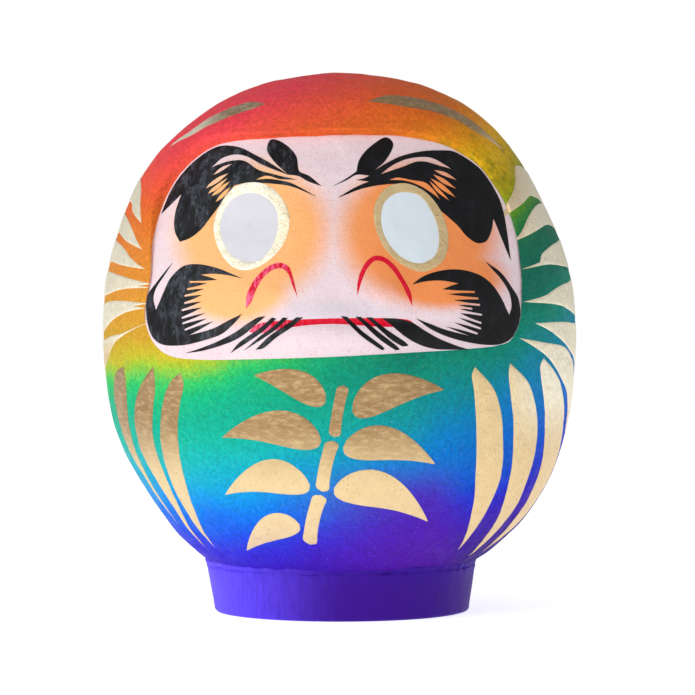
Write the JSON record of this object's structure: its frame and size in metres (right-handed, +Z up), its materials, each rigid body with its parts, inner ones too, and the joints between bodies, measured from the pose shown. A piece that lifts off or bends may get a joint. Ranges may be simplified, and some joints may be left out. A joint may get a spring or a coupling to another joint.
{
  "type": "daruma doll",
  "caption": "Round, hollow moulded-paper doll with a recessed painted face under a rolled hood, airbrushed rainbow body, gold brush strokes and a weighted flat foot ring.",
  "frame": {"origin": "centre of the flat underside that the doll rests on", "axes": "+Z up through the crown, -Y out of the face, +X to the side that is on the right for a viewer in front"},
  "size_m": [0.212, 0.2187, 0.24],
  "materials": {
    "body_front": "airbrushed acrylic on moulded paper pulp, satin",
    "body_rear": "airbrushed acrylic on moulded paper pulp, satin",
    "seam_paper": "pasted kraft paper, matt",
    "foot": "airbrushed card ring, satin",
    "glue": "dried glue under the airbrushed colour",
    "weight": "dry unfired clay",
    "board": "grey-brown board",
    "seal": "pasted paper, matt",
    "face_white": "warm white ground, satin",
    "eye_white": "cool white paint, satin",
    "red_line": "crimson line paint",
    "black_lacquer": "glossy brushed black lacquer",
    "gold_paint": "crinkled metallic gold paint"
  },
  "bodies": {
    "root": {"base_board": "board", "base_seal": "seal", "base_weight": "weight", "belly_sprig": "gold_paint", "brow_left": "black_lacquer", "brow_right": "black_lacquer", "eye_left": "eye_white", "eye_right": "eye_white", "eye_ring_left": "gold_paint", "eye_ring_right": "gold_paint", "face_ground": "face_white", "foot_ring": "foot", "front_shell": "body_front", "glue_bead": "glue", "gold_rays_left": "gold_paint", "gold_rays_right": "gold_paint", "gold_ribs_left": "gold_paint", "gold_ribs_right": "gold_paint", "hood_gold_left": "gold_paint", "hood_gold_right": "gold_paint", "moustache_left": "black_lacquer", "moustache_right": "black_lacquer", "mouth_line": "red_line", "nostril_line_left": "red_line", "nostril_line_right": "red_line", "rear_shell": "body_rear", "seam_strip": "seam_paper", "whisker_left": "black_lacquer", "whisker_right": "black_lacquer"}
  },
  "joints": []
}
